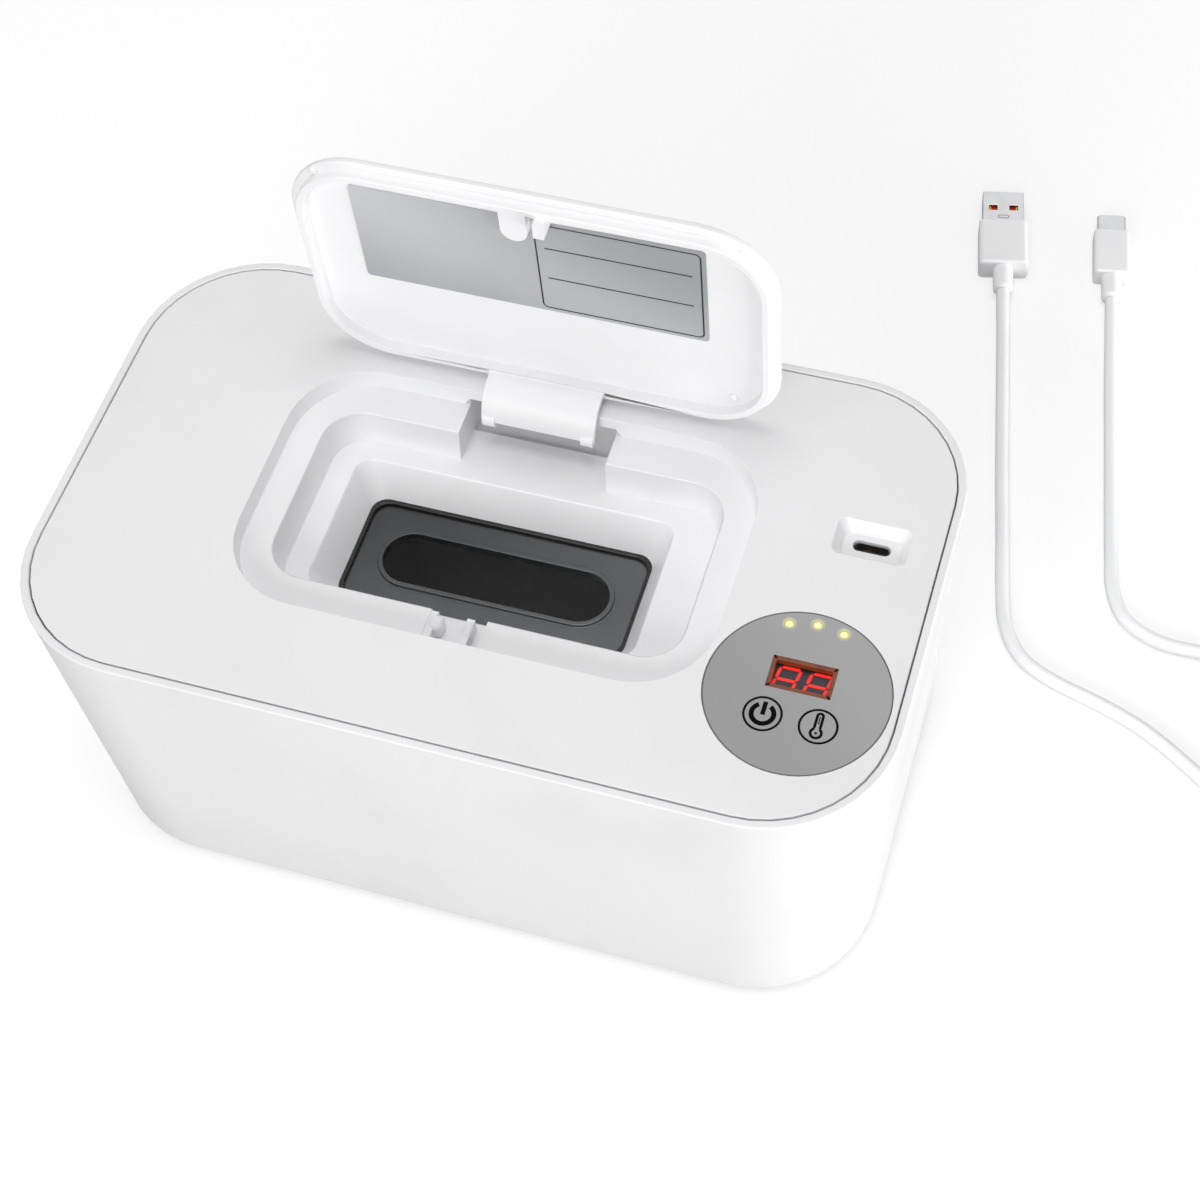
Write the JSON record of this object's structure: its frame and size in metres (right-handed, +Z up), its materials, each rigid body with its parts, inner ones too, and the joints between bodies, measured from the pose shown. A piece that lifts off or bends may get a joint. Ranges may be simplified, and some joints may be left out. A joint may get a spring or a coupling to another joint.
{
  "type": "baby wipe warmer",
  "caption": "White box-shaped baby wipe warmer with a flip lid over its dispensing opening, a grey control disc, an upward USB-C socket and a detachable lead.",
  "frame": {"origin": "bottom centre of the body, on the surface that the feet stand on", "axes": "+X along the body's long side towards the control disc, +Y towards the lid hinge, +Z up"},
  "size_m": [0.3329, 0.2696, 0.1569],
  "materials": {
    "white_plastic": "fine satin white moulding",
    "tub_plastic": "matt white moulding",
    "foot_rubber": "grey rubber",
    "screw_steel": "zinc-plated steel",
    "dark_plate": "glossy dark grey coated plate",
    "heater_film": "amber film",
    "black_rubber": "black silicone",
    "grey_foam": "closed-cell foam",
    "black_plastic": "black moulding",
    "fuse_body": "ceramic-coated body",
    "circuit_board": "green solder mask",
    "display_red": "dark face with lit red segments",
    "led_yellow": "warm yellow lens, lit",
    "grey_panel": "satin grey printed panel",
    "wire_red": "insulated wire",
    "silver_label": "bare silver-grey label",
    "plug_metal": "bright nickel plating",
    "orange_plastic": "orange-red insulator",
    "lead_white": "soft white jacket"
  },
  "bodies": {
    "base": {"outer_shell": "white_plastic", "inner_tub": "tub_plastic", "feet": "foot_rubber", "base_screws": "screw_steel", "usb_a_shell": "plug_metal", "usb_a_insert": "orange_plastic", "usb_a_overmould": "lead_white", "usb_a_relief": "lead_white", "usb_c_plug_shell": "plug_metal", "usb_c_plug_insert": "black_plastic", "usb_c_overmould": "lead_white", "usb_c_relief": "lead_white", "lead_run_a": "lead_white", "lead_run_c": "lead_white", "lead_coil": "lead_white", "coil_tie": "lead_white"},
    "cover": {"top_cover": "white_plastic", "cover_bottom": "white_plastic", "cover_screws": "screw_steel", "hinge_pin": "screw_steel", "heater_plate": "dark_plate", "heating_film": "heater_film", "heater_gasket": "black_rubber", "insulation_foam": "grey_foam", "ntc_sensor": "black_plastic", "thermal_fuse": "fuse_body", "main_pcb": "circuit_board", "pcb_screws": "screw_steel", "display_module": "display_red", "status_leds": "led_yellow", "touch_springs": "screw_steel", "light_mask": "black_plastic", "overlay_disc": "grey_panel", "usb_c_socket": "screw_steel", "socket_tongue": "black_plastic", "socket_board": "circuit_board", "wire_harness": "wire_red"},
    "lid": {"lid_shell": "white_plastic", "lid_label": "silver_label"}
  },
  "joints": [
    {"name": "cover_lift", "type": "slide", "parent": "base", "child": "cover", "axis": [0, 0, 1], "range_m": [0, 0.06]},
    {"name": "lid_hinge", "type": "hinge", "parent": "cover", "child": "lid", "pos_m": [0.0006, 0.03825, 0.086], "axis": [1, 0, 0], "range_deg": [0, 88]}
  ]
}
